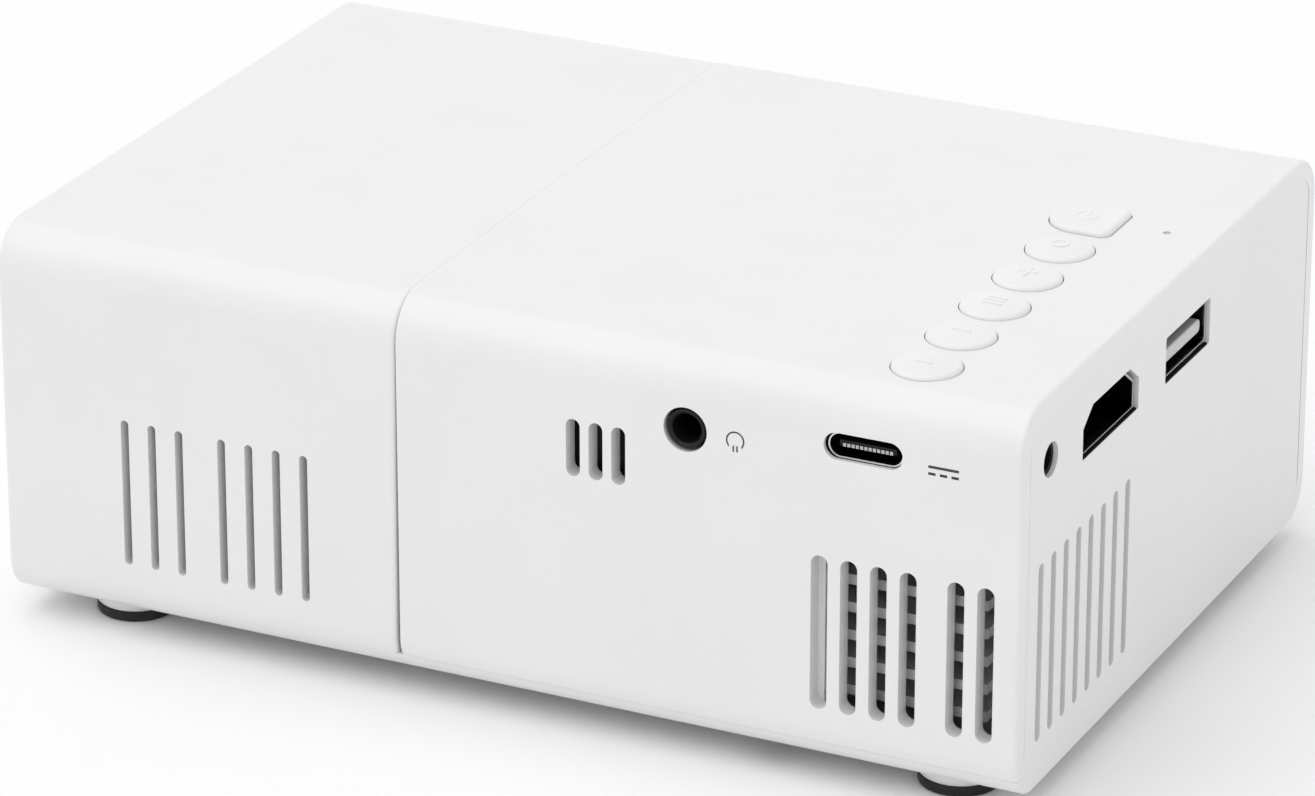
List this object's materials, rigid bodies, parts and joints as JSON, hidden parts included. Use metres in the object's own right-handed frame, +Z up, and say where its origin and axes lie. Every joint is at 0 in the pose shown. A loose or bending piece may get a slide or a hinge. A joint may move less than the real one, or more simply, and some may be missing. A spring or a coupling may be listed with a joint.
{
  "type": "mini projector",
  "caption": "Palm-sized white video projector with a split cover, tray, lens with focus ring, top buttons, rear and end sockets, vent slots and rubber feet.",
  "frame": {"origin": "centre of the overall length and depth, at the level of the feet's undersides", "axes": "+X towards the short end with the two large sockets, +Y towards the lens side, +Z up"},
  "size_m": [0.126, 0.091, 0.0495],
  "materials": {
    "white_case": "white satin moulding",
    "white_tray": "white satin moulding",
    "white_button": "white satin cap with a raised sign",
    "black_rubber": "soft black rubber",
    "black_plastic": "black moulding",
    "black_ring": "black ridged grip",
    "grey_plastic": "light grey moulding",
    "clear_plastic": "clear acrylic",
    "glass": "coated lens glass",
    "panel_glass": "dark display panel",
    "mirror": "front-silvered mirror",
    "steel": "nickel-plated steel",
    "brass": "bare brass",
    "aluminium": "mill finish",
    "board": "green solder mask",
    "dome_film": "clear film over metal domes",
    "amber_film": "amber flexible film",
    "lamp": "yellow phosphor under clear resin",
    "lead_sheath": "black lead sheath"
  },
  "bodies": {
    "casing": {"main_cover": "white_case", "lens_cover": "white_case", "bottom_shell": "white_tray", "foot_rear_left": "black_rubber", "foot_rear_right": "black_rubber", "foot_front_left": "black_rubber", "foot_front_right": "black_rubber", "screw_rear_left": "steel", "screw_front_left": "steel", "screw_rear_right": "steel", "screw_front_right": "steel", "tripod_nut": "brass", "switch_strip": "dome_film", "light_pipe": "clear_plastic", "status_led": "lamp", "main_board": "board", "board_screw_1": "steel", "board_screw_2": "steel", "video_shell": "steel", "video_tongue": "black_plastic", "data_shell": "steel", "data_tongue": "grey_plastic", "charge_shell": "steel", "charge_tongue": "black_plastic", "headphone_jack": "black_plastic", "av_jack": "black_plastic", "main_chip": "black_plastic", "capacitor": "aluminium", "inductor": "grey_plastic", "led_board": "aluminium", "led_emitter": "lamp", "heat_sink": "aluminium", "light_box": "black_plastic", "condenser_lens": "glass", "lcd_frame": "black_plastic", "fresnel_rear": "clear_plastic", "lcd_panel": "panel_glass", "fresnel_front": "clear_plastic", "lcd_ribbon": "amber_film", "mirror": "mirror", "mirror_holder": "black_plastic", "lens_mount": "black_plastic", "fan_frame": "black_plastic", "speaker_basket": "steel", "speaker_magnet": "steel", "fan_lead": "lead_sheath", "led_lead": "lead_sheath", "speaker_lead": "lead_sheath"},
    "source_button": {"button_source": "white_button"},
    "minus_button": {"button_minus": "white_button"},
    "menu_button": {"button_menu": "white_button"},
    "plus_button": {"button_plus": "white_button"},
    "ok_button": {"button_ok": "white_button"},
    "power_button": {"button_power": "white_button"},
    "focus_grip": {"focus_ring": "black_ring"},
    "barrel": {"lens_barrel": "black_plastic", "lens_glass_front": "glass", "lens_glass_rear": "glass"},
    "fan_wheel": {"fan_rotor": "black_plastic"},
    "cone": {"speaker_cone": "black_plastic"}
  },
  "joints": [
    {"name": "source_press", "type": "slide", "parent": "casing", "child": "source_button", "axis": [0, 0, -1], "range_m": [0, 0.0004], "stiffness_N_per_m": 500, "springref_m": -0.0002},
    {"name": "minus_press", "type": "slide", "parent": "casing", "child": "minus_button", "axis": [0, 0, -1], "range_m": [0, 0.0004], "stiffness_N_per_m": 500, "springref_m": -0.0002},
    {"name": "menu_press", "type": "slide", "parent": "casing", "child": "menu_button", "axis": [0, 0, -1], "range_m": [0, 0.0004], "stiffness_N_per_m": 500, "springref_m": -0.0002},
    {"name": "plus_press", "type": "slide", "parent": "casing", "child": "plus_button", "axis": [0, 0, -1], "range_m": [0, 0.0004], "stiffness_N_per_m": 500, "springref_m": -0.0002},
    {"name": "ok_press", "type": "slide", "parent": "casing", "child": "ok_button", "axis": [0, 0, -1], "range_m": [0, 0.0004], "stiffness_N_per_m": 500, "springref_m": -0.0002},
    {"name": "power_press", "type": "slide", "parent": "casing", "child": "power_button", "axis": [0, 0, -1], "range_m": [0, 0.0004], "stiffness_N_per_m": 500, "springref_m": -0.0002},
    {"name": "focus_turn", "type": "hinge", "parent": "casing", "child": "focus_grip", "pos_m": [-0.038, 0.0395, 0.0234], "axis": [0, 1, 0], "range_deg": [-92, 92]},
    {"name": "barrel_travel", "type": "slide", "parent": "casing", "child": "barrel", "axis": [0, 1, 0], "range_m": [-0.002, 0.002]},
    {"name": "fan_spin", "type": "hinge", "parent": "casing", "child": "fan_wheel", "pos_m": [0.0454, -0.0031, 0.0198], "axis": [0, 1, 0], "continuous": true},
    {"name": "cone_travel", "type": "slide", "parent": "casing", "child": "cone", "axis": [0, 1, 0], "range_m": [-0.0003, 0.0003], "stiffness_N_per_m": 300}
  ],
  "couplings": [
    {"joint": "focus_turn", "follows": "barrel_travel", "rad_per_m": 785.39}
  ]
}
